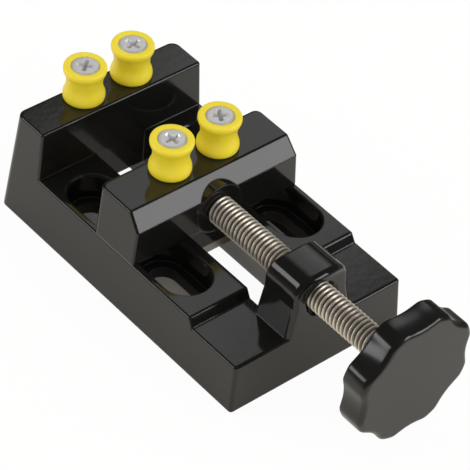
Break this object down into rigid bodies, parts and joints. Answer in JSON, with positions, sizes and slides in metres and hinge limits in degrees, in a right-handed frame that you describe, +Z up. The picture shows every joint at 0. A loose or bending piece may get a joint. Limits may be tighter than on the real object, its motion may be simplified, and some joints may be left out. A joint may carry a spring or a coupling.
{
  "type": "flat bench vise",
  "caption": "Small flat bench vise: hollow cast base with a fixed jaw, sliding jaw on a lobed-knob lead screw, work-holding pegs on the jaws and bolt slots in the base.",
  "frame": {"origin": "middle of the vise's length and width, knob included, on the plane the base stands on", "axes": "+X across the jaws, to the right seen from the knob; +Y from the knob towards the fixed jaw; +Z up"},
  "size_m": [0.056, 0.1274, 0.0421],
  "materials": {
    "cast_body": "glossy black enamel over a fine cast surface",
    "sheet_plate": "zinc plated, satin",
    "screw_steel": "bright plated, satin",
    "fastener": "zinc plated, satin",
    "knob_plastic": "satin moulded black",
    "peg_plastic": "satin moulded yellow"
  },
  "bodies": {
    "base": {"base_casting": "cast_body", "peg_fixed_left": "peg_plastic", "peg_fixed_right": "peg_plastic", "peg_screw_fixed_left": "fastener", "peg_screw_fixed_right": "fastener"},
    "moving_jaw": {"moving_jaw": "cast_body", "keeper_plate": "sheet_plate", "keeper_screw_left": "fastener", "keeper_screw_right": "fastener", "retaining_pin": "screw_steel", "peg_moving_left": "peg_plastic", "peg_moving_right": "peg_plastic", "peg_screw_moving_left": "fastener", "peg_screw_moving_right": "fastener"},
    "lead_screw": {"lead_screw": "screw_steel", "knob": "knob_plastic"}
  },
  "joints": [
    {"name": "jaw_slide", "type": "slide", "parent": "base", "child": "moving_jaw", "axis": [0, 1, 0], "range_m": [-0.0271, 0.0225]},
    {"name": "screw_turn", "type": "hinge", "parent": "moving_jaw", "child": "lead_screw", "pos_m": [0, 0, 0.0227], "axis": [0, 1, 0], "range_deg": [-9757, 8101]}
  ],
  "couplings": [
    {"joint": "screw_turn", "follows": "jaw_slide", "rad_per_m": 6283.2}
  ]
}
